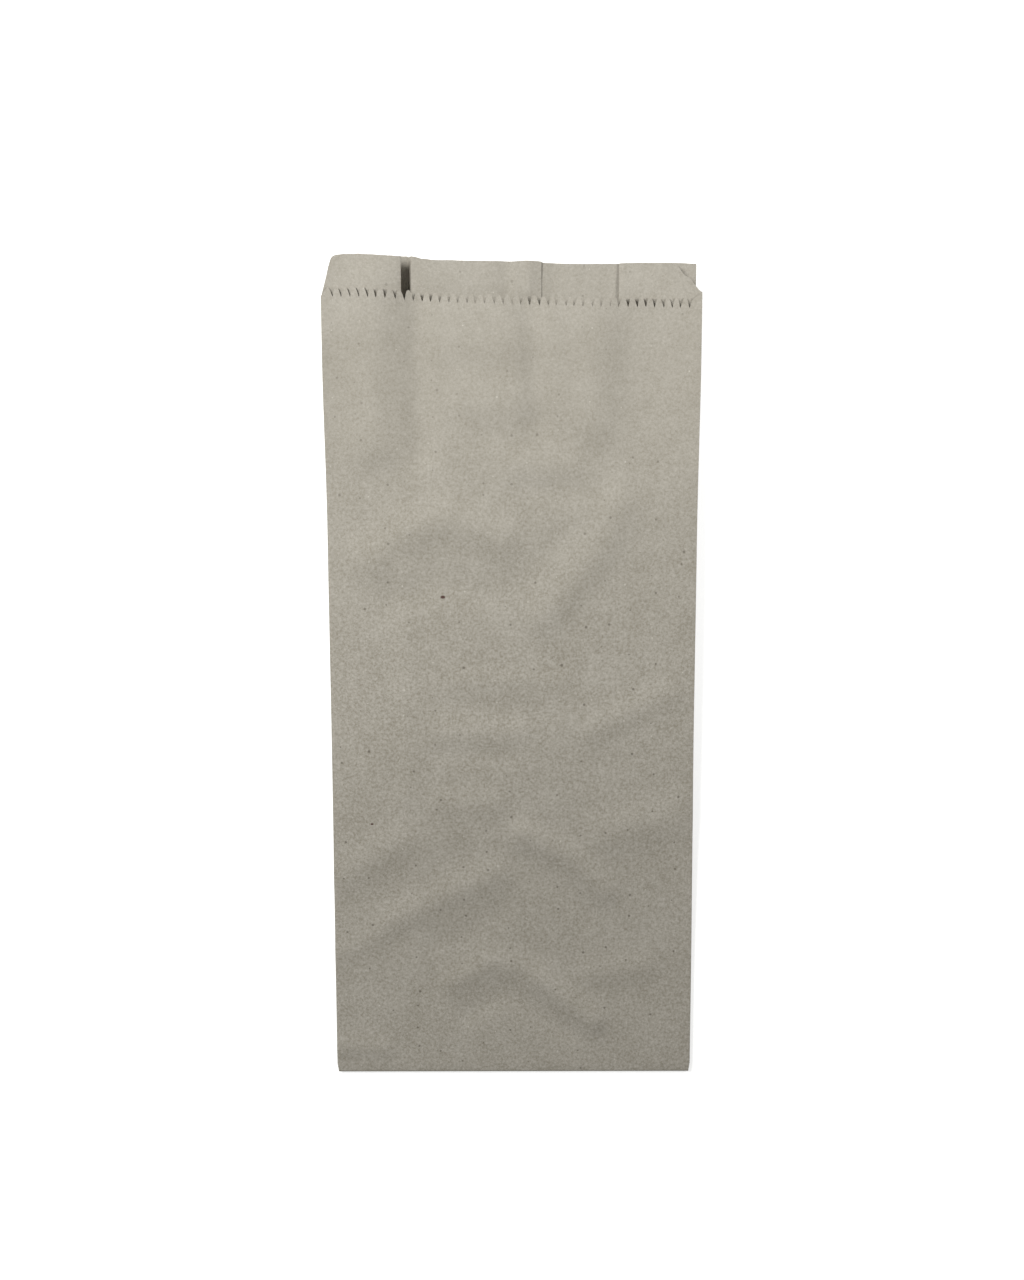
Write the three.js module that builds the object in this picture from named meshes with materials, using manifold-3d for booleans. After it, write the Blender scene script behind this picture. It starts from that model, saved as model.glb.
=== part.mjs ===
// A brown paper lunch bag, folded flat and lying on its back. It is one sheet of kraft paper: a tube with a
// gusset tucked in at each side, lapped and glued along the back, and closed by turning the end of the tube
// over onto the back. At the mouth the back stands above the serrated front and has buckled beside the left
// gusset. Millimetres: +X to the right of the front, +Y to the mouth, +Z up out of the front.

import * as THREE from "three";
import { mergeVertices } from "three/addons/utils/BufferGeometryUtils.js";
import Module from "manifold-3d";

// The bag over all
const bagWidth = 130;
const backLength = 291; // bottom fold to the back's top edge, at mid width
const lipLength = 13.5; // how far the back stands above the front
const edgeSlant = 3.4; // both top edges fall this much from left to right

// The sheet and its folds
const paper = 0.12; // caliper
const foldRadius = 0.12; // to the middle of the sheet
const foldSteps = 4; // facets round one side fold
const leftGusset = 26.7; // depth, from the outer folds in
const rightGusset = 28.5;
const lapWidth = 12;
const lapInnerEdge = 9.9; // X of the inner edge of the glued lap
const lapOuterEdge = lapInnerEdge - lapWidth;
const cutSlope = 0.06; // run of a cut edge over one caliper

// The cut edges
const gapCount = 41; // the notches between the teeth
const toothPitch = 3.04;
const firstGap = -61.2; // X of the notch nearest the left side
const toothDepth = 3.5;
// A notch and the tooth after it: share of the pitch, and height as a share of the depth
const toothOutline = [
  [-0.25, 0.25],
  [0, -0.5],
  [0.25, 0.25],
  [0.5, 0.5],
];
const leftCorner = -0.4; // the torn corners of the front, above its edge
const rightCorner = 3.7;
const leftTear = 3; // run of the slanting tear from the front's edge up to the back's
const rightTear = 9.5;

// The bottom, turned over onto the back
const flapLength = 22; // the front's ply, which reaches furthest
const turnSteps = 6; // facets round the bottom fold
const glueLength = 6;
const glueInset = 4; // kept clear of the bag's sides
const glueBite = 0.03; // how far the glue line soaks into each ply
const flapMargin = 1; // the back lies flat this far past the flap's glue and end

// Where the bag stops opening out, starts to change, and has its mouth's shape
const bellyStart = 110;
const bellyEnd = 200;
const mouthStart = 262;

const halfWidth = bagWidth / 2;
const frontLength = backLength - lipLength;
const backFlapLength = flapLength - lipLength;
const stack = 6 * foldRadius; // back to front where the four plies are pressed together
const turnHeight = paper / 2 + stack + foldRadius; // axis of the bottom fold
const glueGap = paper;

// Heights of the sheet's middle at one place along the bag
function pressedFlat(back) {
  const middle = back + stack / 2;
  const front = back + stack;
  return {
    back,
    leftFold: middle,
    rightFold: middle,
    leftEdge: front,
    frontMiddle: front,
    rightEdge: front,
    ridge: 0,
    backInset: 0,
  };
}

const atFoot = pressedFlat(turnHeight + foldRadius);
const atFlapEdge = pressedFlat(1.5 * paper + glueGap);
const atBelly = {
  back: paper / 2,
  leftFold: 3,
  rightFold: 2.8,
  leftEdge: 6,
  frontMiddle: 10.8,
  rightEdge: 6,
  ridge: 0.2,
  backInset: 0,
};
const atMouth = {
  back: paper / 2,
  leftFold: 5.2,
  rightFold: 2.1,
  leftEdge: 6.8,
  frontMiddle: 11.6,
  rightEdge: 3,
  ridge: 3.6,
  backInset: 1.9,
};

// Stretches along the bag, each easing from one set of heights to the next
const stretches = [
  { to: 0, end: atFoot, rows: 1 },
  { to: backFlapLength, end: atFoot, rows: 1 },
  { to: flapLength - glueLength - flapMargin, end: atFlapEdge, rows: 1 },
  { to: flapLength + flapMargin, end: atFlapEdge, rows: 1 },
  { to: bellyStart, end: atBelly, rows: 4 },
  { to: bellyEnd, end: atBelly, rows: 1 },
  { to: mouthStart, end: atMouth, rows: 3 },
];

// The buckled back across the mouth: X, and height as a share of the ridge
const buckle = [
  [-35.6, 0],
  [-34.6, 0.93],
  [-28, 1],
  [0, 0.86],
  [30, 0.58],
  [50, 0.2],
  [60, 0],
];
const frontStops = [-50, -30, -10, 10, 30, 50];

function buckleAt(x) {
  const next = buckle.findIndex(([stop]) => stop > x);
  if (next <= 0) return 0;
  const [lowX, low] = buckle[next - 1];
  const [highX, high] = buckle[next];
  return THREE.MathUtils.mapLinear(x, lowX, highX, low, high);
}

// The folded sheet's section: points round the tube, from the lap to the left, over the front and back.
// Each holds the sheet's faces as distances out of and into the tube from the point.
function sectionLine(heights) {
  const line = [];
  const half = paper / 2;
  const backEdge = halfWidth - heights.backInset;
  const put = (panel, x, z, out = half, into = half) => {
    line.push({ panel, at: new THREE.Vector2(x, z), out, into });
  };
  const putBack = (x, out, into) => {
    put("back", x, heights.back + heights.ridge * buckleAt(x), out, into);
  };
  const putFold = (panel, edgeX, z, side, turn) => {
    const x = edgeX - side * foldRadius;
    for (let step = 0; step <= foldSteps; step++) {
      const angle = turn * Math.PI * (step / foldSteps - 0.5);
      put(panel, x + side * foldRadius * Math.cos(angle), z + foldRadius * Math.sin(angle));
    }
  };
  const putFront = (x) => {
    const edge = x < 0 ? heights.leftEdge : heights.rightEdge;
    put("front", x, THREE.MathUtils.lerp(heights.frontMiddle, edge, (x / halfWidth) ** 2));
  };

  putBack(lapInnerEdge + cutSlope);
  putBack(lapInnerEdge, half, half + paper);
  putBack(lapOuterEdge, half, half + paper);
  putBack(lapOuterEdge - cutSlope, -half, half + paper);
  putBack(lapOuterEdge - lapWidth);
  const leftStops = buckle.map(([x]) => x).filter((x) => x < lapOuterEdge - lapWidth);
  leftStops.reverse().forEach((x) => putBack(x));
  putFold("back", -backEdge, heights.back + foldRadius, -1, 1);
  putFold("leftGusset", -halfWidth + leftGusset, heights.leftFold, 1, 1);
  putFold("front", -halfWidth, heights.leftEdge - foldRadius, -1, 1);
  frontStops.forEach((x) => putFront(x));
  putFold("front", halfWidth, heights.rightEdge - foldRadius, 1, -1);
  putFold("rightGusset", halfWidth - rightGusset, heights.rightFold, -1, -1);
  putFold("back", backEdge, heights.back + foldRadius, 1, -1);
  const rightStops = buckle.map(([x]) => x).filter((x) => x > lapInnerEdge + cutSlope);
  rightStops.reverse().forEach((x) => putBack(x));
  return line;
}

// The two faces of the sheet, each moved off the section line along its mitred normals
function sheetFaces(heights) {
  const line = sectionLine(heights);
  const normalAfter = (index) => {
    const from = line[index].at;
    const to = line[(index + 1) % line.length].at;
    return new THREE.Vector2(from.y - to.y, to.x - from.x).normalize();
  };
  const normals = line.map((_, index) => {
    const before = normalAfter((index + line.length - 1) % line.length);
    const after = normalAfter(index);
    const middle = before.clone().add(after).normalize();
    return middle.divideScalar(middle.dot(after));
  });
  return {
    outer: line.map((point, index) => point.at.clone().addScaledVector(normals[index], point.out)),
    inner: line.map((point, index) => point.at.clone().addScaledVector(normals[index], -point.into)),
  };
}

function blend(start, end, share) {
  const names = Object.keys(end);
  return Object.fromEntries(names.map((name) => [name, THREE.MathUtils.lerp(start[name], end[name], share)]));
}

// A point on a face between two of its section's points
function pointOn(face, column) {
  const start = Math.floor(column);
  return face[start].clone().lerp(face[(start + 1) % face.length], column - start);
}

// The cut edge round the tube: columns of the section, with how far along the bag each is cut and the level
// that its tooth stands on. The front is serrated, and a tear climbs from it over each gusset to the back.
function cutEdge(frontEdge, backEdge) {
  const line = sectionLine(atMouth);
  const slantAt = (x) => -edgeSlant * (x / bagWidth);
  const columns = [];
  line.forEach((point, index) => {
    const onFold = Math.abs(point.at.x) > halfWidth - 2 * foldRadius;
    if (point.panel === "front" && !onFold) return;
    const corner = point.at.x < 0 ? leftCorner : rightCorner;
    const edge = point.panel === "front" ? frontEdge + corner : backEdge;
    const level = edge + slantAt(point.at.x);
    columns.push({ column: index, level, along: level });
  });
  const putAt = (x, edge, tooth, isSegment) => {
    const index = line.findIndex((point, k) => isSegment(point, line[(k + 1) % line.length]));
    const from = line[index].at.x;
    const to = line[(index + 1) % line.length].at.x;
    const level = edge + slantAt(x);
    columns.push({ column: index + (x - from) / (to - from), level, along: level + tooth });
  };
  for (let gap = 0; gap < gapCount; gap++) {
    for (const [share, height] of toothOutline) {
      const x = firstGap + (gap + share) * toothPitch;
      const onFront = (a, b) => a.panel === "front" && b.panel === "front" && a.at.x <= x && x < b.at.x;
      putAt(x, frontEdge, height * toothDepth, onFront);
    }
  }
  putAt(-halfWidth + leftTear, backEdge, 0, (a, b) => a.panel === "leftGusset" && b.panel === "front");
  putAt(halfWidth - rightTear, backEdge, 0, (a, b) => a.panel === "front" && b.panel === "rightGusset");
  return columns.sort((a, b) => a.column - b.column);
}

// The sheet as one closed solid: rows of points from the flap's end, round the bottom fold, to the mouth
function foldedSheet() {
  const corners = [];
  const triangles = [];
  const rows = [];
  const everyColumn = sectionLine(atFoot).map((_, column) => ({ column }));
  const flapEdge = cutEdge(flapLength, backFlapLength);
  const mouthEdge = cutEdge(frontLength, backLength);
  const belowTeeth = (edge) => edge.map(({ column, level }) => ({ column, along: level - toothDepth }));

  const addRow = (heights, columns, place) => {
    const faces = sheetFaces(heights);
    const add = (face, spot) => {
      const point = pointOn(face, spot.column);
      corners.push(...place(point.x, point.y, spot.along));
      return corners.length / 3 - 1;
    };
    const row = columns.map((spot) => ({
      column: spot.column,
      outer: add(faces.outer, spot),
      inner: add(faces.inner, spot),
    }));
    rows.push(row);
  };
  // Two rows joined into a strip, whatever columns each has
  const joinRows = (near, far) => {
    const columnOf = (row, k) => (k < row.length ? row[k].column : everyColumn.length);
    let i = 0;
    let j = 0;
    while (i < near.length || j < far.length) {
      const nearNext = columnOf(near, i + 1);
      const farNext = columnOf(far, j + 1);
      const a = near[i % near.length];
      const b = far[j % far.length];
      const alongNear = j === far.length || (i < near.length && nearNext <= farNext);
      const next = alongNear ? near[(i + 1) % near.length] : far[(j + 1) % far.length];
      triangles.push(a.outer, next.outer, b.outer);
      triangles.push(a.inner, b.inner, next.inner);
      if (alongNear) i++;
      else j++;
    }
  };
  const closeEdge = (row, facesMouth) => {
    row.forEach((a, index) => {
      const b = row[(index + 1) % row.length];
      if (facesMouth) triangles.push(a.outer, b.outer, b.inner, a.outer, b.inner, a.inner);
      else triangles.push(a.outer, a.inner, b.inner, a.outer, b.inner, b.outer);
    });
  };

  const onFlap = (x, z, along) => [x, along, 2 * turnHeight - z];
  addRow(atFoot, flapEdge, onFlap);
  addRow(atFoot, belowTeeth(flapEdge), onFlap);
  for (let step = turnSteps; step > 0; step--) {
    const angle = (Math.PI * step) / turnSteps;
    addRow(atFoot, everyColumn, (x, z) => {
      const radius = z - turnHeight;
      return [x, -radius * Math.sin(angle), turnHeight + radius * Math.cos(angle)];
    });
  }
  let from = 0;
  let start = atFoot;
  for (const { to, end, rows: count } of stretches) {
    for (let step = 1; step <= count; step++) {
      const share = step / count;
      const along = THREE.MathUtils.lerp(from, to, share);
      const eased = Math.sin((share * Math.PI) / 2);
      addRow(blend(start, end, eased), everyColumn, (x, z) => [x, along, z]);
    }
    from = to;
    start = end;
  }
  const onBag = (x, z, along) => [x, along, z];
  addRow(atMouth, belowTeeth(mouthEdge), onBag);
  addRow(atMouth, mouthEdge, onBag);

  rows.slice(1).forEach((row, index) => joinRows(rows[index], row));
  closeEdge(rows[0], false);
  closeEdge(rows.at(-1), true);
  const geometry = new THREE.BufferGeometry();
  geometry.setAttribute("position", new THREE.Float32BufferAttribute(corners, 3));
  geometry.setIndex(triangles);
  return geometry;
}

// The glue line that holds the turned-over flap to the back
function flapGlue() {
  const bottom = paper - glueBite;
  const top = paper + glueGap + glueBite;
  const glue = new THREE.BoxGeometry(bagWidth - 2 * glueInset, glueLength, top - bottom);
  return glue.translate(0, flapLength - toothDepth - edgeSlant / 2 - glueLength / 2, (bottom + top) / 2);
}

const wasm = await Module();
wasm.setup();

function solidFrom(geometry) {
  const bare = geometry.clone();
  bare.deleteAttribute("normal");
  bare.deleteAttribute("uv");
  const merged = mergeVertices(bare);
  const mesh = new wasm.Mesh({
    numProp: 3,
    vertProperties: new Float32Array(merged.attributes.position.array),
    triVerts: new Uint32Array(merged.index.array),
  });
  return new wasm.Manifold(mesh);
}

function geometryFrom(solid) {
  const mesh = solid.getMesh();
  const geometry = new THREE.BufferGeometry();
  geometry.setAttribute("position", new THREE.BufferAttribute(mesh.vertProperties, mesh.numProp));
  geometry.setIndex(new THREE.BufferAttribute(mesh.triVerts, 1));
  return geometry;
}

const bagGeometry = geometryFrom(solidFrom(foldedSheet()).add(solidFrom(flapGlue())));
bagGeometry.computeBoundingBox();
const bagCentre = bagGeometry.boundingBox.getCenter(new THREE.Vector3());
bagGeometry.translate(-bagCentre.x, -bagCentre.y, 0);
bagGeometry.computeVertexNormals();

const kraft = new THREE.MeshStandardMaterial({ color: "#a9a497", roughness: 0.9, metalness: 0 });
const paperBag = new THREE.Mesh(bagGeometry, kraft);
paperBag.name = "paper_bag";

const lunchBag = new THREE.Group();
lunchBag.add(paperBag);

export default lunchBag;
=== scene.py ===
import math
import bpy
import numpy as np
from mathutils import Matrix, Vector


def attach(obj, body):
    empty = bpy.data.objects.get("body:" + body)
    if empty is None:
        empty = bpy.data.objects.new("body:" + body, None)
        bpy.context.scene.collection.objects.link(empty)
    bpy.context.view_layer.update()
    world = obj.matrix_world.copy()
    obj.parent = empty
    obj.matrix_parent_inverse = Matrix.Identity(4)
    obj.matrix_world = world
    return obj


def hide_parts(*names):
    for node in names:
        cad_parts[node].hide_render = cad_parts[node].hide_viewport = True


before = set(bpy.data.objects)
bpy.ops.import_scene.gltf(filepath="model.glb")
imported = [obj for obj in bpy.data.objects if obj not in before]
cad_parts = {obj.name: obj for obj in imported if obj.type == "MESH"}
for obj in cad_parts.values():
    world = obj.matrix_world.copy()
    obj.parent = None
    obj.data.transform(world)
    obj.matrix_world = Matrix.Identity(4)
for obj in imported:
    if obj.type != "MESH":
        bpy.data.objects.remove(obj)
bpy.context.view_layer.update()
scene = bpy.context.scene
mm = 0.001


def linear(hexColour):
    channels = [int(hexColour[i:i + 2], 16) / 255 for i in (1, 3, 5)]
    return tuple(c / 12.92 if c <= 0.04045 else ((c + 0.055) / 1.055) ** 2.4 for c in channels) + (1.0,)


def addNode(tree, kind, inputs=None, **settings):
    node = tree.nodes.new(kind)
    for name, value in settings.items():
        setattr(node, name, value)
    for key, value in (inputs or {}).items():
        if isinstance(value, bpy.types.NodeSocket):
            tree.links.new(value, node.inputs[key])
        else:
            node.inputs[key].default_value = value
    return node


def addObject(name, data):
    obj = bpy.data.objects.new(name, data)
    scene.collection.objects.link(obj)
    return obj


def ease(value, start, end):
    share = np.clip((value - start) / (end - start), 0, 1)
    return share * share * (3 - 2 * share)


def across(x, points):
    return np.interp(x, *zip(*points))


# the folded sheet in millimetres, close to the sizes of the CAD part
sheet = dict(
    width=130.0, backLength=291.0, lip=13.5, slant=3.4, caliper=0.12,
    foldRadius=0.14, foldSteps=5, leftGusset=27.2, rightGusset=28.5,
    lapEdge=9.9, lapWidth=12.0, shoulder=4.0, wingGap=0.38, wingFall=1.5,
    flap=22.0, leastFlap=0.8, flapClear=2.5, turnLength=1.6, middle=145.9,
    firstGap=-61.2, gapCount=41, toothPitch=3.05, toothDepth=3.5, tipPower=1.5, notchPower=3.5,
    mouthStart=262.0, bodyRows=106, mouthRows=10, flapRows=6, turnRows=8, sharpAngle=50.0,
)
stack = 6 * sheet["foldRadius"]
turnHeight = sheet["caliper"] / 2 + stack + sheet["foldRadius"]
frontLength = sheet["backLength"] - sheet["lip"]
footBack = turnHeight + sheet["foldRadius"]
footFront = footBack + stack
flapTop = 0.5
restHeight = sheet["caliper"] / 2

# heights of the sheet's middle at four places along the bag, and how far its sides are drawn in;
# wings is the share of the front's arch that lies low over the gussets
heights = dict(
    foot=dict(back=footBack, leftFold=footBack + stack / 2, rightFold=footBack + stack / 2,
              leftEdge=footFront, frontMiddle=footFront, rightEdge=footFront, wings=0.0,
              ridge=0.0, lapLift=0.25, backInset=0.0, leftInset=0.0, rightInset=0.0),
    flapEdge=dict(back=flapTop, leftFold=(flapTop + footFront) / 2, rightFold=(flapTop + footFront) / 2,
                  leftEdge=footFront, frontMiddle=footFront, rightEdge=footFront, wings=0.0,
                  ridge=0.0, lapLift=0.25, backInset=0.0, leftInset=0.0, rightInset=0.0),
    belly=dict(back=restHeight, leftFold=3.0, rightFold=2.8,
               leftEdge=6.0, frontMiddle=10.8, rightEdge=6.0, wings=0.0,
               ridge=0.2, lapLift=0.25, backInset=0.9, leftInset=0.7, rightInset=1.0),
    mouth=dict(back=restHeight, leftFold=6.4, rightFold=2.0,
               leftEdge=6.8, frontMiddle=10.6, rightEdge=3.0, wings=1.0,
               ridge=3.6, lapLift=0.4, backInset=1.9, leftInset=0.0, rightInset=0.0),
)

# the back has buckled at the mouth: it climbs steeply beside the left gusset and falls away to the right
buckle = dict(foot=-35.7, top=-34.4, crest=-29.5, run=92.0, fall=1.8)


def buckleAt(x):
    fall = max(0.0, (x - buckle["crest"]) / buckle["run"]) ** buckle["fall"]
    return float(ease(x, buckle["foot"], buckle["top"])) * max(0.0, 1 - fall)


# where the front has points across each tooth, as shares of the pitch
toothPhases = (0.0, 0.07, 0.14, 0.22, 0.34, 0.5, 0.66, 0.78, 0.86, 0.93)
# how many columns each stretch of the back and each gusset ply has, and where the stretches end
columns = dict(
    lap=24, lapEnd=-31.0, buckle=19, buckleStart=-32.0, buckleEnd=-38.0, left=10, leftStart=-40.0,
    right=30, backEnd=61.0, lowerPly=12, upperPly=32, foldRoom=0.6, toothSlip=0.02,
)


def sectionLine(h):
    # points round the tube: inner lap ply, back, left gusset, front, right gusset, back, outer lap ply
    points, panels = [], []
    r = sheet["foldRadius"]
    full = sheet["width"] / 2
    left, right, backEdge = h["leftInset"] - full, full - h["rightInset"], full - h["backInset"]
    lapOuter = sheet["lapEdge"] - sheet["lapWidth"]
    leftFold, rightFold = sheet["leftGusset"] - full, full - sheet["rightGusset"]

    def put(panel, x, z):
        points.append((x, z))
        panels.append(panel)

    def putFold(panel, edge, z, side, turn):
        for step in range(sheet["foldSteps"] + 1):
            angle = turn * math.pi * (step / sheet["foldSteps"] - 0.5)
            put(panel, edge - side * r + side * r * math.cos(angle), z + r * math.sin(angle))

    def putLeg(panel, start, end, count, knee=None):
        line = [spot for spot in (start, knee, end) if spot]
        order = sorted(line)
        for x in np.linspace(start[0], end[0], count + 1)[1:-1]:
            put(panel, x, np.interp(x, *zip(*order)))

    def putBack(x, lift):
        reach = backEdge - 2 * r
        put("back", min(max(x, -reach), reach), h["back"] + h["ridge"] * buckleAt(x) + lift)

    def frontHeight(x):
        # an arch from fold to fold, or with wings one that lies low over the gussets
        edge, side = (h["leftEdge"], left) if x < 0 else (h["rightEdge"], right)
        inward = 1 - min(1.0, abs(x / side))
        winged = float(ease(inward ** sheet["wingFall"], 0, 1))
        arch = (1 - (1 - inward) ** 2) * (1 - h["wings"]) + winged * h["wings"]
        return edge + (h["frontMiddle"] - edge) * arch

    # the gusset stays against the front for a short way in from the fold
    kneeGap = 2 * r + sheet["wingGap"] * h["wings"]
    leftKnee = (left + sheet["shoulder"], frontHeight(left + sheet["shoulder"]) - kneeGap)
    rightKnee = (right - sheet["shoulder"], frontHeight(right - sheet["shoulder"]) - kneeGap)
    backStops = [np.linspace(sheet["lapEdge"], columns["lapEnd"], columns["lap"]),
                 np.linspace(columns["buckleStart"], columns["buckleEnd"], columns["buckle"]),
                 np.linspace(columns["leftStart"], -columns["backEnd"], columns["left"])]
    for x in np.concatenate(backStops):
        putBack(x, h["lapLift"] * float(ease(x, lapOuter - sheet["lapWidth"], lapOuter)))
    putFold("back", -backEdge, h["back"] + r, -1, 1)
    putLeg("leftLower", (r - backEdge, h["back"] + 2 * r), (leftFold - r, h["leftFold"] - r),
           columns["lowerPly"])
    putFold("leftFold", leftFold, h["leftFold"], 1, 1)
    putLeg("leftUpper", (leftFold - r, h["leftFold"] + r), (left + r, h["leftEdge"] - 2 * r),
           columns["upperPly"], leftKnee)
    putFold("frontLeft", left, h["leftEdge"] - r, -1, 1)
    stops = [sheet["firstGap"] + (gap + phase) * sheet["toothPitch"]
             for gap in range(-1, sheet["gapCount"] + 1) for phase in toothPhases]
    for x in stops:
        if abs(x) < full - columns["foldRoom"]:
            x *= -left / full if x < 0 else right / full
            put("front", x, frontHeight(x))
    putFold("frontRight", right, h["rightEdge"] - r, 1, -1)
    putLeg("rightUpper", (right - r, h["rightEdge"] - 2 * r), (rightFold + r, h["rightFold"] + r),
           columns["upperPly"], rightKnee)
    putFold("rightFold", rightFold, h["rightFold"], -1, -1)
    putLeg("rightLower", (rightFold + r, h["rightFold"] - r), (backEdge - r, h["back"] + 2 * r),
           columns["lowerPly"])
    putFold("back", backEdge, h["back"] + r, 1, -1)
    for x in np.linspace(columns["backEnd"], lapOuter, columns["right"]):
        putBack(x, 0.0)
    return np.array(points), np.array(panels)


drawn = {name: sectionLine(h) for name, h in heights.items()}
sections = {name: points for name, (points, panels) in drawn.items()}
columnX = sections["mouth"][:, 0]
columnPanel = drawn["mouth"][1]
onFront = np.isin(columnPanel, ("front", "frontLeft", "frontRight"))
print("columns round the section", len(columnX))

# the cut edge as X and millimetres: tears that climb over the gussets, and how the lip wavers
cut = dict(
    leftCorner=-0.4, rightCorner=4.7, tipStep=0.01, backTearShare=1.1,
    frontWave=[(-65.0, 0.0), (-62.0, 1.2), (-45.0, 1.0), (-20.0, 0.0), (28.0, 0.0), (45.0, 0.6), (62.0, 0.8),
               (65.0, 0.0)],
    leftTear=[(-65.0, -13.9), (-64.6, -12.1), (-63.8, -10.2), (-62.0, -2.6), (-61.4, -1.1), (-60.2, -0.3),
              (-57.0, 0.0)],
    rightTear=[(55.5, 0.0), (57.0, -1.4), (58.7, -3.4), (60.7, -4.4), (61.7, -5.5), (62.7, -6.8),
               (64.0, -8.2), (65.0, -9.6)],
    backWave=[(-65.0, 0.8), (-36.3, 0.8), (-35.2, 0.4), (-33.5, 0.4), (-31.0, -0.2), (-27.0, -0.6),
              (-12.0, -0.5), (4.0, -0.2), (9.8, -0.1), (10.2, -0.5), (20.0, -0.6), (34.0, -0.2),
              (46.0, 0.6), (65.0, 0.8)],
    gussetWave=[(-65.0, 0.1), (-52.0, 0.4), (-40.0, 0.0), (36.0, -0.1), (44.0, 0.4), (56.0, 0.2),
                (65.0, -0.2)],
)
firstTip = sheet["firstGap"] - sheet["toothPitch"] / 2
lastTip = sheet["firstGap"] + (sheet["gapCount"] - 0.5) * sheet["toothPitch"]


def cutEdge(front, back):
    # how far along the bag each column is cut, before its teeth
    half, tip = sheet["width"] / 2, sheet["toothDepth"] / 2
    onBack = columnPanel == "back"
    lip = back + np.where(onBack, across(columnX, cut["backWave"]), across(columnX, cut["gussetWave"]))
    tear = (back - front) / sheet["lip"]
    left, right = across(columnX, cut["leftTear"]), across(columnX, cut["rightTear"])
    edge = np.where(columnPanel == "leftUpper", lip + left * tear, lip)
    leftBehind = (columnX < 0) & np.isin(columnPanel, ("leftLower", "back"))
    edge = np.where(leftBehind, lip + cut["backTearShare"] * left * abs(tear), edge)
    edge = np.where(columnPanel == "rightUpper", lip + right * tear, edge)
    step = cut["tipStep"]
    corner = across(columnX, [(-half, cut["leftCorner"]), (firstTip, tip), (firstTip + step, 0.0),
                              (lastTip - step, 0.0), (lastTip, tip), (half, cut["rightCorner"])])
    frontEdge = front + corner + across(columnX, cut["frontWave"])
    return np.where(onFront, frontEdge, edge) - sheet["slant"] * columnX / sheet["width"]


# soft creases pressed into the front: points across and along, reach and height
creases = [
    ([(-5, 200), (5, 200)], 55.0, 2.4),
    ([(-47, 284), (-48, 229)], 8.5, 2.8),
    ([(-32, 284), (-31, 226)], 5.0, -1.8),
    ([(30, 280), (28, 237)], 9.0, 2.1),
    ([(6, 276), (9, 237)], 5.5, -1.7),
    ([(-20, 255), (5, 255)], 5.0, -0.6),
    ([(-20, 242), (11, 243)], 5.0, 0.6),
    ([(-10, 231), (17, 231)], 4.5, -0.55),
    ([(1, 221), (20, 221)], 4.0, 0.65),
    ([(5, 213), (29, 213)], 4.0, -0.5),
    ([(37, 208), (31, 194), (11, 170)], 6.5, 1.4),
    ([(17, 197), (1, 181)], 5.0, -0.5),
    ([(-49, 190), (-37, 199), (-22, 204), (-5, 197)], 7.0, 1.7),
    ([(-43, 175), (-25, 182), (-10, 178)], 6.0, -0.8),
    ([(-19, 147), (17, 147)], 3.5, 0.45),
    ([(-25, 138), (14, 136)], 3.5, -0.4),
    ([(-26, 128), (2, 128)], 3.5, 0.45),
    ([(-26, 120), (-1, 120)], 3.5, -0.35),
    ([(-26, 102), (-6, 102)], 4.5, 0.6),
    ([(28, 129), (56, 142)], 5.0, 0.8),
    ([(34, 91), (58, 97)], 8.0, 1.0),
    ([(4, 91), (21, 82), (33, 69)], 4.5, 1.3),
    ([(2, 80), (16, 70), (26, 59)], 4.5, -0.4),
    ([(-61, 75), (-48, 84), (-40, 88)], 6.0, 0.7),
    ([(-61, 61), (-42, 71)], 5.5, -0.8),
    ([(-35, 75), (-18, 82)], 5.5, -0.35),
    ([(-44, 57), (-25, 67), (-5, 76)], 5.0, 0.9),
    ([(-38, 46), (-20, 51), (-6, 60)], 5.0, -0.5),
    ([(-63, 45), (-49, 52)], 4.0, 0.5),
    ([(-22, 34), (-7, 42), (5, 39), (29, 19)], 4.5, 1.0),
    ([(10, 35), (29, 19)], 4.5, 0.8),
    ([(-17, 21), (-4, 29), (4, 26), (21, 11)], 4.0, -0.6),
    ([(29, 37), (48, 40)], 5.0, 0.7),
    ([(-62, 9), (-48, 8)], 4.0, 0.8),
    ([(-38, 185), (-38, 105)], 4.0, 0.4),
]
# and into the lip of the back
lipDents = [
    ([(-1, 294), (-1, 272)], 3.5, -1.3),
    ([(5.2, 294), (4.7, 280)], 2.8, 1.7),
    ([(15, 294), (15, 278)], 3.2, -0.7),
    ([(54, 294), (55, 286)], 5.0, 1.1),
]
# the lap's free corner and the torn gusset stand up at the lip
lapCurl = ([(9.9, 294), (9.9, 290)], 3.0, 0.3)
tornCurl = ([(55, 293), (61, 287)], 4.0, 1.1)
# and the front's cut edge droops across its middle
droop = dict(run=24.0, depth=[(-65, 0.0), (-42, 0.0), (-34, 0.8), (-22, 2.2), (0, 3.2), (20, 2.4), (34, 0.9),
                              (46, 0.2), (65, 0.0)])
# share of a crease that each panel takes where the bag is open
panelShare = dict(front=1.0, frontLeft=1.0, frontRight=1.0, leftUpper=0.9, rightUpper=0.9,
                  leftFold=0.5, rightFold=0.5, leftLower=0.25, rightLower=0.25, back=0.0)
# where along the bag its sides draw in, its plies part, and its creases and valleys set in,
# and how near the middle a valley is clear of the gussets while the plies lie together
reaches = dict(drawnIn=(25, 140), parted=(30, 110), creased=(1, 8), valleys=(8, 16), clearOfGussets=(35, 29))


def creaseLift(x, y, points, reach, height):
    nearest = np.full(x.shape, np.inf)
    for (ax, ay), (bx, by) in zip(points, points[1:]):
        share = ((x - ax) * (bx - ax) + (y - ay) * (by - ay)) / ((bx - ax) ** 2 + (by - ay) ** 2)
        share = np.clip(share, 0, 1)
        nearest = np.minimum(nearest, np.hypot(x - ax - share * (bx - ax), y - ay - share * (by - ay)))
    return height * np.exp(-(nearest / reach) ** 2)


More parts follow.
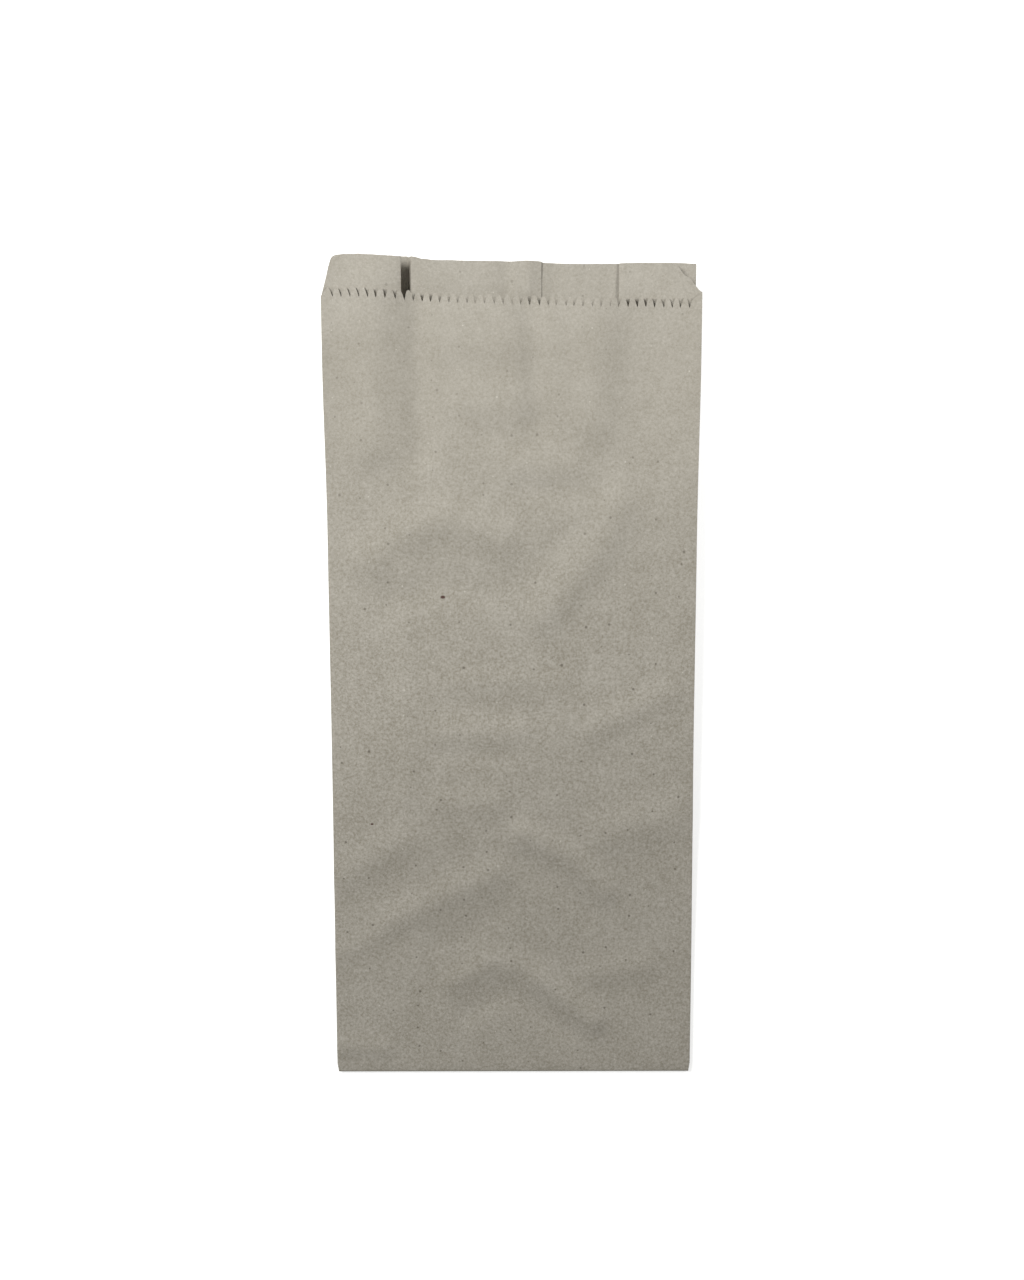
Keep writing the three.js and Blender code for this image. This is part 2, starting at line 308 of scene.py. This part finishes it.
def flatBlank():
    # the sheet before folding: rows from the flap's end to the mouth, with what the fold needs at each point
    mouthEdge = cutEdge(frontLength, sheet["backLength"])
    flapEdge = np.maximum(cutEdge(sheet["flap"], sheet["flap"] - sheet["lip"]), sheet["leastFlap"])
    count = len(columnX)
    rows = []
    for share in np.linspace(1, 0, sheet["flapRows"]):
        rows.append((-sheet["turnLength"] - flapEdge * share, max(0.0, 2 * share - 1), True))
    for share in np.linspace(1, 0, sheet["turnRows"] + 1)[1:-1]:
        rows.append((np.full(count, -sheet["turnLength"] * share), 0.0, False))
    for y in np.linspace(0, sheet["mouthStart"], sheet["bodyRows"]):
        rows.append((np.full(count, y), 0.0, False))
    for share in np.linspace(0, 1, sheet["mouthRows"] + 1)[1:]:
        rows.append((sheet["mouthStart"] + (mouthEdge - sheet["mouthStart"]) * share, share ** 2, True))
    along = np.array([row[0] for row in rows])
    edgeShare = np.array([row[1] for row in rows])[:, None]
    toothed = onFront & (columnX > firstTip) & (columnX < lastTip)
    footX = sections["foot"][:, 0]
    x = footX + (columnX - footX) * ease(along, *reaches["drawnIn"])
    tooth = (x - sheet["firstGap"]) / sheet["toothPitch"]

    share = np.array([panelShare[panel] for panel in columnPanel])[None, :]
    opened = ease(along, *reaches["parted"])
    lift = sum(creaseLift(x, along, *crease) for crease in creases)
    clear = ease(along, *reaches["valleys"]) * ease(abs(x), *reaches["clearOfGussets"])
    clear = np.maximum(opened, clear)
    lift = np.where(lift < 0, lift * share * clear, lift * (share * opened + 1 - opened))
    lift = lift * ease(along, *reaches["creased"])
    dents = sum(creaseLift(x, along, *dent) for dent in lipDents)
    lift = lift + dents * (np.isin(columnPanel, ("back", "rightLower"))[None, :] & (along > 0))
    lift = lift + creaseLift(x, along, *lapCurl) * (np.arange(count) < columns["lap"])
    lift = lift + creaseLift(x, along, *tornCurl) * (columnPanel == "rightUpper")
    peak = 1 - abs(2 * (tooth % 1) - 1)
    hollow = (1 - peak ** sheet["tipPower"]) ** sheet["notchPower"]
    notchDepth = sheet["toothDepth"] * hollow * edgeShare * toothed
    nearEdge = np.clip(1 - (mouthEdge + notchDepth - along) / droop["run"], 0, 1) ** 2
    lift = lift - nearEdge * across(columnX, droop["depth"]) * onFront

    # only the toothed ends need every column of the front
    halves = 2 * tooth[0]
    whole = (abs(halves - np.round(halves)) < columns["toothSlip"]) | (columnPanel != "front")
    kept = np.array([row[2] for row in rows])[:, None] | whole[None, :]
    index = np.cumsum(kept).reshape(kept.shape) - 1
    faces = []
    for low in range(len(rows) - 1):
        shared = np.flatnonzero(kept[low] & kept[low + 1])
        for start, end in zip(shared, shared[1:]):
            below = index[low, start:end + 1][kept[low, start:end + 1]]
            above = index[low + 1, start:end + 1][kept[low + 1, start:end + 1]]
            faces.append([*below.tolist(), *above[::-1].tolist()])
    mesh = bpy.data.meshes.new("flatBlank")
    corners = np.stack([np.broadcast_to(np.arange(count), along.shape), along, np.zeros_like(along)], axis=2)
    mesh.from_pydata((corners[kept] * mm).tolist(), [], faces)
    fields = dict(along=along * mm, bite=edgeShare * toothed, torn=edgeShare * ~onFront, tooth=tooth,
                  lift=lift * mm, slack=share * opened)
    for name, values in fields.items():
        flat = np.broadcast_to(values, along.shape)[kept].astype(np.float32)
        mesh.attributes.new(name, "FLOAT", "POINT").data.foreach_set("value", flat)
    for name, line in sections.items():
        spots = np.stack([line[:, 0], np.zeros(count), line[:, 1]], axis=1) * mm
        spots = np.broadcast_to(spots, along.shape + (3,))[kept].astype(np.float32)
        mesh.attributes.new(name, "FLOAT_VECTOR", "POINT").data.foreach_set("vector", spots.ravel())
    return mesh, list(fields)


# what the folding tree can be set to, in metres where it is a length
foldSettings = dict(
    ToothDepth=sheet["toothDepth"] * mm, ToothRagged=0.18, ToothLean=0.3 * mm, Seed=7, LeanSeed=3,
    TornSize=1.6 * mm, TornDepth=0.35 * mm,
    FlapBack=(sheet["flap"] - sheet["lip"] + sheet["flapClear"]) * mm, FlapEdge=16.5 * mm, FlapEnd=25 * mm,
    BellyStart=140 * mm, BellyEnd=200 * mm, MouthStart=sheet["mouthStart"] * mm,
    TurnHeight=turnHeight * mm, TurnLength=sheet["turnLength"] * mm, CornerRun=1.2 * mm, CornerPinch=0.006,
    CockleSize=24 * mm, CockleHeight=0.5 * mm, Middle=sheet["middle"] * mm,
)


def foldTree(fields, material):
    # cuts the teeth and folds the flat sheet: four sections eased into each other, the bottom turned under
    tree = bpy.data.node_groups.new("foldPaperBag", "GeometryNodeTree")
    tree.interface.new_socket("Geometry", in_out="INPUT", socket_type="NodeSocketGeometry")
    identifiers = {}
    for name in foldSettings:
        kind = "NodeSocketInt" if name.endswith("Seed") else "NodeSocketFloat"
        identifiers[name] = tree.interface.new_socket(name, in_out="INPUT", socket_type=kind).identifier
    tree.interface.new_socket("Geometry", in_out="OUTPUT", socket_type="NodeSocketGeometry")
    given = tree.nodes.new("NodeGroupInput").outputs

    def calc(operation, *values):
        return addNode(tree, "ShaderNodeMath", dict(enumerate(values)), operation=operation).outputs[0]

    def ramp(value, low, high, kind="LINEAR"):
        inputs = {"Value": value, "From Min": low, "From Max": high}
        return addNode(tree, "ShaderNodeMapRange", inputs, interpolation_type=kind).outputs[0]

    def field(name, kind):
        node = addNode(tree, "GeometryNodeInputNamedAttribute", {"Name": name}, data_type=kind)
        return node.outputs["Attribute"]

    def randomFor(number, low, high, seed):
        inputs = {"Min": low, "Max": high, "ID": number, "Seed": seed}
        return addNode(tree, "FunctionNodeRandomValue", inputs, data_type="FLOAT").outputs[1]

    def noise(spot, size):
        inputs = {"Vector": spot, "Scale": calc("DIVIDE", 1.0, size), "Detail": 2.0, "Roughness": 0.5}
        return calc("SUBTRACT", addNode(tree, "ShaderNodeTexNoise", inputs).outputs[0], 0.5)

    read = {name: field(name, "FLOAT") for name in fields}
    spots = {name: field(name, "FLOAT_VECTOR") for name in sections}
    mouthParts = addNode(tree, "ShaderNodeSeparateXYZ", {0: spots["mouth"]}).outputs

    # teeth: a broad round tip and a narrow notch, each a little different and leaning its own way
    within = calc("FRACT", read["tooth"])
    peak = calc("SUBTRACT", 1.0, calc("ABSOLUTE", calc("MULTIPLY_ADD", within, 2.0, -1.0)))
    tip = calc("POWER", peak, sheet["tipPower"])
    hollow = calc("POWER", calc("SUBTRACT", 1.0, tip), sheet["notchPower"])
    rise = calc("SUBTRACT", 0.5, hollow)
    ragged = randomFor(calc("FLOOR", read["tooth"]), 0.0, given["ToothRagged"], given["Seed"])
    toothOut = calc("MULTIPLY", calc("SUBTRACT", rise, calc("MULTIPLY", ragged, peak)), given["ToothDepth"])
    notch = calc("FLOOR", calc("ADD", read["tooth"], 0.5))
    lean = calc("MULTIPLY", randomFor(notch, -1.0, 1.0, given["LeanSeed"]), given["ToothLean"])
    leanOut = calc("MULTIPLY", calc("MULTIPLY", lean, calc("SUBTRACT", 0.5, rise)), read["bite"])
    tornSpot = addNode(tree, "ShaderNodeCombineXYZ", {0: mouthParts[0], 1: mouthParts[2]}).outputs[0]
    tornOut = calc("MULTIPLY", noise(tornSpot, given["TornSize"]), given["TornDepth"])
    outward = calc("ADD", calc("MULTIPLY", toothOut, read["bite"]), calc("MULTIPLY", tornOut, read["torn"]))
    along = calc("MULTIPLY_ADD", outward, calc("SIGN", read["along"]), read["along"])

    # the body: each section eases into the next
    body = spots["foot"]
    for name, low, high in (("flapEdge", "FlapBack", "FlapEdge"), ("belly", "FlapEnd", "BellyStart"),
                            ("mouth", "BellyEnd", "MouthStart")):
        share = ramp(along, given[low], given[high], "SMOOTHSTEP")
        inputs = {0: share, 4: body, 5: spots[name]}
        body = addNode(tree, "ShaderNodeMix", inputs, data_type="VECTOR").outputs[1]
    bodyParts = addNode(tree, "ShaderNodeSeparateXYZ", {0: body}).outputs
    footParts = addNode(tree, "ShaderNodeSeparateXYZ", {0: spots["foot"]}).outputs

    # the bottom end turns over about the fold and lies under the back, its corners a little rounded
    past = calc("MULTIPLY", along, -1.0)
    angle = calc("MULTIPLY", ramp(past, 0.0, given["TurnLength"]), math.pi)
    radius = calc("SUBTRACT", footParts[2], given["TurnHeight"])
    reach = calc("MAXIMUM", calc("SUBTRACT", past, given["TurnLength"]), 0.0)
    turnY = calc("SUBTRACT", reach, calc("MULTIPLY", radius, calc("SINE", angle)))
    turnZ = calc("MULTIPLY_ADD", radius, calc("COSINE", angle), given["TurnHeight"])
    isTurned = calc("LESS_THAN", along, 0.0)
    y = calc("MULTIPLY_ADD", isTurned, calc("SUBTRACT", turnY, along), along)
    z = calc("MULTIPLY_ADD", isTurned, calc("SUBTRACT", turnZ, bodyParts[2]), bodyParts[2])
    rounded = calc("POWER", ramp(along, given["CornerRun"], 0.0), 2.0)
    pinch = calc("SUBTRACT", 1.0, calc("MULTIPLY", rounded, given["CornerPinch"]))
    x = calc("MULTIPLY_ADD", bodyParts[0], pinch, leanOut)

    # creases, and the shallow cockle that paper takes
    spot = addNode(tree, "ShaderNodeCombineXYZ", {0: x, 1: y}).outputs[0]
    cockle = calc("MULTIPLY", noise(spot, given["CockleSize"]), given["CockleHeight"])
    lift = calc("MULTIPLY_ADD", cockle, read["slack"], read["lift"])
    place = addNode(tree, "ShaderNodeCombineXYZ",
                    {0: x, 1: calc("SUBTRACT", y, given["Middle"]), 2: calc("ADD", z, lift)}).outputs[0]
    moved = addNode(tree, "GeometryNodeSetPosition", {"Geometry": given["Geometry"], "Position": place})
    smooth = addNode(tree, "GeometryNodeSetShadeSmooth", {"Geometry": moved.outputs[0]})
    real = addNode(tree, "GeometryNodeRealizeInstances", {"Geometry": smooth.outputs[0]})
    dressed = addNode(tree, "GeometryNodeSetMaterial", {"Geometry": real.outputs[0], "Material": material})
    end = tree.nodes.new("NodeGroupOutput")
    tree.links.new(dressed.outputs[0], end.inputs[0])
    return tree, identifiers


# paper colours, pattern sizes in millimetres, and how much each pattern shows;
# the sizes of scattered flecks are shares of their spacing, and a named fleck is its place and its size
kraft = dict(
    light="#bdb8ad", dark="#958f81", darkFleck="#5c564b", paleFleck="#cdc9be", redFleck="#4a2f2a",
    cloud=dict(size=15.0, detail=3.0, roughness=0.8), grain=dict(size=0.95, detail=3.0, roughness=0.85),
    fibre=dict(size=2.0, detail=1.0, roughness=0.5, distortion=1.5), fibreWidth=0.02,
    fibreTone=dict(size=8.0, detail=2.0, roughness=0.6),
    cloudShare=0.6, grainShare=3.1, mouthGrainShare=1.5, grainFrom=0.0, grainTo=110.0, fibreShare=0.16,
    # the paper's tone, and the painted light that makes it paler near the cut end
    tone=0.5, mouthPaintedLight=0.12, paintedLightFrom=116.0, paintedLightTo=130.0,
    darkFlecks=dict(spacing=8.5, shift=0.0, least=-0.03, most=0.07, edge=0.025), fleckShare=0.21,
    paleFlecks=dict(spacing=11.0, shift=0.5, least=-0.02, most=0.035, edge=0.015), paleFleckShare=0.8,
    namedFlecks=[(-24.2, 30.6, 11.5, 0.95), (-50.5, -51.6, 6.0, 0.65)], fleckSquash=(1.0, 1.5, 0.12),
    namedFleckEdge=0.25, namedFleckShare=0.9,
    grainRelief=0.05, fibreRelief=0.2, reliefStrength=0.6,
    roughness=0.88, grainRoughness=0.15, gloss=0.25,
)


def recycledKraft():
    # dull grey-brown recycled paper: cloudy, grainy with short fibres, with dark and pale flecks
    paper = bpy.data.materials.new("recycledKraftPaper")
    paper.use_nodes = True
    tree = paper.node_tree
    shader = tree.nodes["Principled BSDF"]
    spot = addNode(tree, "ShaderNodeTexCoord").outputs["Object"]

    def calc(operation, *values, clamp=False):
        inputs = dict(enumerate(values))
        return addNode(tree, "ShaderNodeMath", inputs, operation=operation, use_clamp=clamp).outputs[0]

    def noise(size, detail, roughness, distortion=0.0):
        inputs = {"Vector": spot, "Scale": 1 / (size * mm), "Detail": detail, "Roughness": roughness,
                  "Distortion": distortion}
        return calc("SUBTRACT", addNode(tree, "ShaderNodeTexNoise", inputs).outputs[0], 0.5)

    def flecks(spacing, shift, least, most, edge):
        inputs = {0: spot, 1: (shift, shift, 0.0)}
        moved = addNode(tree, "ShaderNodeVectorMath", inputs, operation="ADD").outputs[0]
        cell = addNode(tree, "ShaderNodeTexVoronoi", {"Vector": moved, "Scale": 1 / (spacing * mm)},
                       voronoi_dimensions="2D")
        chance = addNode(tree, "ShaderNodeSeparateColor", {0: cell.outputs["Color"]}).outputs[0]
        radius = calc("MULTIPLY_ADD", chance, most - least, least)
        return calc("DIVIDE", calc("SUBTRACT", radius, cell.outputs["Distance"]), edge, clamp=True)

    def tint(colour, mask, strength, fleckColour):
        share = calc("MULTIPLY", mask, strength)
        inputs = {0: share, 6: colour, 7: linear(fleckColour)}
        return addNode(tree, "ShaderNodeMix", inputs, data_type="RGBA").outputs[2]

    cloud = noise(**kraft["cloud"])
    grain = noise(**kraft["grain"])
    fibre = calc("ABSOLUTE", noise(**kraft["fibre"]))
    fibre = calc("SUBTRACT", 1.0, calc("DIVIDE", fibre, kraft["fibreWidth"], clamp=True))
    fibre = calc("MULTIPLY", fibre, calc("SIGN", noise(**kraft["fibreTone"])))
    # the grain and the dark flecks show less towards the mouth
    along = addNode(tree, "ShaderNodeSeparateXYZ", {0: spot}).outputs[1]
    grainShare = addNode(tree, "ShaderNodeMapRange", {
        "Value": along, "From Min": kraft["grainFrom"] * mm, "From Max": kraft["grainTo"] * mm,
        "To Min": kraft["grainShare"], "To Max": kraft["mouthGrainShare"]}).outputs[0]
    # and towards the cut end the paper is painted paler: painted light that stands in for the brighter light
    # on the curled teeth and lip
    tone = addNode(tree, "ShaderNodeMapRange", {
        "Value": along, "From Min": kraft["paintedLightFrom"] * mm, "From Max": kraft["paintedLightTo"] * mm,
        "To Min": kraft["tone"], "To Max": kraft["tone"] + kraft["mouthPaintedLight"]}).outputs[0]
    tone = calc("MULTIPLY_ADD", cloud, kraft["cloudShare"], tone)
    tone = calc("MULTIPLY_ADD", grain, grainShare, tone)
    tone = calc("MULTIPLY_ADD", fibre, kraft["fibreShare"], tone, clamp=True)
    colour = addNode(tree, "ShaderNodeMix", {0: tone, 6: linear(kraft["dark"]), 7: linear(kraft["light"])},
                     data_type="RGBA").outputs[2]
    colour = tint(colour, flecks(**kraft["darkFlecks"]),
                  calc("MULTIPLY", grainShare, kraft["fleckShare"]), kraft["darkFleck"])
    colour = tint(colour, flecks(**kraft["paleFlecks"]), kraft["paleFleckShare"], kraft["paleFleck"])
    # the flecks that stand out lie in the front only, so their height counts a little
    squash = kraft["fleckSquash"]
    fleckSpot = addNode(tree, "ShaderNodeVectorMath", {0: spot, 1: squash}, operation="MULTIPLY").outputs[0]
    for *centre, size in kraft["namedFlecks"]:
        centre = [part * share * mm for part, share in zip(centre, squash)]
        away = addNode(tree, "ShaderNodeVectorMath", {0: fleckSpot, 1: centre}, operation="DISTANCE")
        inside = calc("SUBTRACT", size * mm, away.outputs["Value"])
        mask = calc("DIVIDE", inside, kraft["namedFleckEdge"] * mm, clamp=True)
        colour = tint(colour, mask, kraft["namedFleckShare"], kraft["redFleck"])
    tree.links.new(colour, shader.inputs["Base Color"])
    relief = addNode(tree, "ShaderNodeBump", {
        "Strength": kraft["reliefStrength"], "Distance": kraft["grainRelief"] * mm,
        "Height": calc("MULTIPLY_ADD", fibre, kraft["fibreRelief"], grain)})
    tree.links.new(relief.outputs[0], shader.inputs["Normal"])
    roughness = calc("MULTIPLY_ADD", grain, kraft["grainRoughness"], kraft["roughness"])
    tree.links.new(roughness, shader.inputs["Roughness"])
    shader.inputs["Specular IOR Level"].default_value = kraft["gloss"]
    return paper


blank, fields = flatBlank()
flat = addObject("flatBlank", blank)
tree, identifiers = foldTree(fields, recycledKraft())
folding = flat.modifiers.new("folding", "NODES")
folding.node_group = tree
for name, value in foldSettings.items():
    folding[identifiers[name]] = value
paperBody = flat.modifiers.new("paperBody", "SOLIDIFY")
paperBody.thickness = sheet["caliper"] * mm
paperBody.offset = 0.0
bagMesh = bpy.data.meshes.new_from_object(flat.evaluated_get(bpy.context.evaluated_depsgraph_get()))
bpy.data.objects.remove(flat)
bagMesh.set_sharp_from_angle(angle=math.radians(sheet["sharpAngle"]))
bag = addObject("folded_paper_bag", bagMesh)
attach(bag, "root")
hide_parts("paper_bag")
print("bag triangles", sum(len(face.vertices) - 2 for face in bagMesh.polygons))

# the studio: a white floor, two softboxes at the mouth's end and an even air light
studio = dict(
    air=0.2, floorColour="#f4f4f2", floorGlow=0.6, floorHalf=2.0, aim=(0.0, 0.23, 0.0),
    lamps=dict(keySoftbox=((-0.45, 0.36, 0.60), 5.25, 0.30), fillSoftbox=((0.30, 0.18, 0.25), 0.6, 0.12)),
)


def seenRays(tree):
    # 1 for rays that look at the surround, so that it can be white without giving more light
    rays = addNode(tree, "ShaderNodeLightPath").outputs
    seen = rays["Is Camera Ray"]
    for name in ("Is Glossy Ray", "Is Transmission Ray"):
        seen = addNode(tree, "ShaderNodeMath", {0: seen, 1: rays[name]}, operation="MAXIMUM").outputs[0]
    return seen


edge = studio["floorHalf"]
floorCorners = [(-edge, -edge, 0), (edge, -edge, 0), (edge, edge, 0), (-edge, edge, 0)]
floorMesh = bpy.data.meshes.new("studioFloor")
floorMesh.from_pydata(floorCorners, [], [(0, 1, 2, 3)])
floor = addObject("studioFloor", floorMesh)
floorPaint = bpy.data.materials.new("mattWhiteFloor")
floorPaint.use_nodes = True
paint = floorPaint.node_tree
paint.nodes.clear()
matt = addNode(paint, "ShaderNodeBsdfDiffuse", {"Color": linear(studio["floorColour"])}).outputs[0]
glow = addNode(paint, "ShaderNodeEmission", {"Strength": studio["floorGlow"]}).outputs[0]
lit = addNode(paint, "ShaderNodeAddShader", {0: matt, 1: glow}).outputs[0]
shown = addNode(paint, "ShaderNodeMixShader", {0: seenRays(paint), 1: matt, 2: lit}).outputs[0]
addNode(paint, "ShaderNodeOutputMaterial", {"Surface": shown})
floorMesh.materials.append(floorPaint)

scene.world = bpy.data.worlds.new("studioAir")
scene.world.use_nodes = True
airTree = scene.world.node_tree
air = airTree.nodes["Background"]
air.inputs["Color"].default_value = (1.0, 1.0, 1.0, 1.0)
airShares = {0: seenRays(airTree), 1: 1 - studio["air"], 2: studio["air"]}
white = addNode(airTree, "ShaderNodeMath", airShares, operation="MULTIPLY_ADD").outputs[0]
airTree.links.new(white, air.inputs["Strength"])
for name, (place, power, size) in studio["lamps"].items():
    lamp = bpy.data.lights.new(name, "AREA")
    lamp.energy = power
    lamp.size = size
    softbox = addObject(name, lamp)
    softbox.location = place
    softbox.rotation_euler = (Vector(studio["aim"]) - Vector(place)).to_track_quat("-Z", "Y").to_euler()
    softbox.visible_camera = False

# the photographer's view, from above and a little towards the mouth
view = dict(focalPixels=1400.0, imageHeight=1280.0, sensor=36.0, place=(-0.19, 81.18, 493.5),
            tilt=7.75, roll=-0.1, clipStart=10.0)
lens = bpy.data.cameras.new("photoCamera")
lens.sensor_fit = "VERTICAL"
lens.sensor_height = view["sensor"]
lens.lens = view["sensor"] * view["focalPixels"] / view["imageHeight"]
lens.clip_start = view["clipStart"] * mm
camera = addObject("photoCamera", lens)
camera.location = [part * mm for part in view["place"]]
camera.rotation_euler = (-math.radians(view["tilt"]), 0.0, math.radians(view["roll"]))
scene.camera = camera
scene.view_settings.view_transform = "Standard"
print("studio and camera set")
